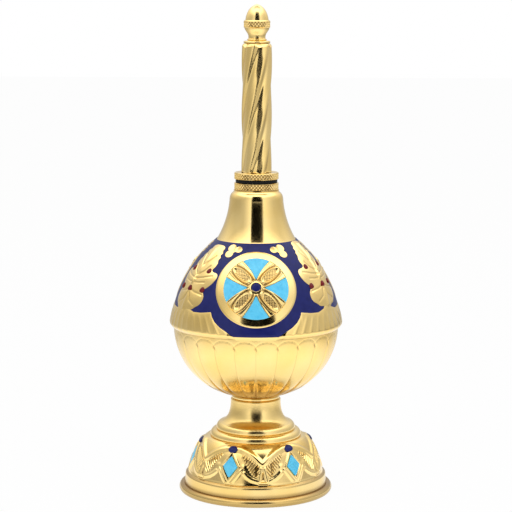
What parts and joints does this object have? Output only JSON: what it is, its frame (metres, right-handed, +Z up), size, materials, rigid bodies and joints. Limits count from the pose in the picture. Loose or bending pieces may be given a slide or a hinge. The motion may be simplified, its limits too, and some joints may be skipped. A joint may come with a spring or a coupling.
{
  "type": "aspergillum",
  "caption": "Standing holy-water sprinkler: gilt enamelled vessel on a domed foot, with a screw-on twisted spout and a screw-on acorn cap.",
  "frame": {"origin": "centre of the foot's resting face, on the table", "axes": "+Z up along the vessel's axis; the front medallion faces -Y"},
  "size_m": [0.0742, 0.0739, 0.21],
  "materials": {
    "polished_gold": "pressed brass, gold plated and polished",
    "turned_gold": "turned brass, gold plated, with fine lathe marks",
    "navy_enamel": "glossy cold enamel, navy blue",
    "sky_enamel": "glossy cold enamel, sky blue",
    "red_enamel": "glossy cold enamel, dark red",
    "black_rubber": "smooth black rubber",
    "plain_steel": "plain bright steel"
  },
  "bodies": {
    "vessel": {"foot_dome": "polished_gold", "foot_diamonds": "sky_enamel", "foot_dots": "navy_enamel", "stem": "turned_gold", "tie_stud": "plain_steel", "tie_washer": "plain_steel", "tie_nut": "plain_steel", "base_ring": "turned_gold", "bowl_lower": "polished_gold", "bowl_upper": "polished_gold", "shoulder_enamel": "navy_enamel", "medallion_enamel": "sky_enamel", "medallion_buttons": "navy_enamel", "leaf_berries": "red_enamel", "neck_collar": "turned_gold"},
    "seal_ring": {"neck_seal": "black_rubber"},
    "spout": {"spout_flange": "turned_gold", "spout_tube": "polished_gold", "spout_tip": "turned_gold"},
    "cap_pad": {"cap_seal": "black_rubber"},
    "cap": {"acorn_cap": "turned_gold"}
  },
  "joints": [
    {"name": "spout_rise", "type": "slide", "parent": "vessel", "child": "seal_ring", "axis": [0, 0, 1], "range_m": [0, 0.009]},
    {"name": "spout_turn", "type": "hinge", "parent": "seal_ring", "child": "spout", "pos_m": [0, 0, 0.1359], "axis": [0, 0, 1], "range_deg": [0, 2165]},
    {"name": "cap_rise", "type": "slide", "parent": "spout", "child": "cap_pad", "axis": [0, 0, 1], "range_m": [0, 0.0053]},
    {"name": "cap_turn", "type": "hinge", "parent": "cap_pad", "child": "cap", "pos_m": [0, 0, 0.1946], "axis": [0, 0, 1], "range_deg": [0, 2340]}
  ],
  "couplings": [
    {"joint": "spout_turn", "follows": "spout_rise", "rad_per_m": 4188.8},
    {"joint": "cap_rise", "follows": "cap_turn", "m_per_rad": 0.00012732}
  ]
}
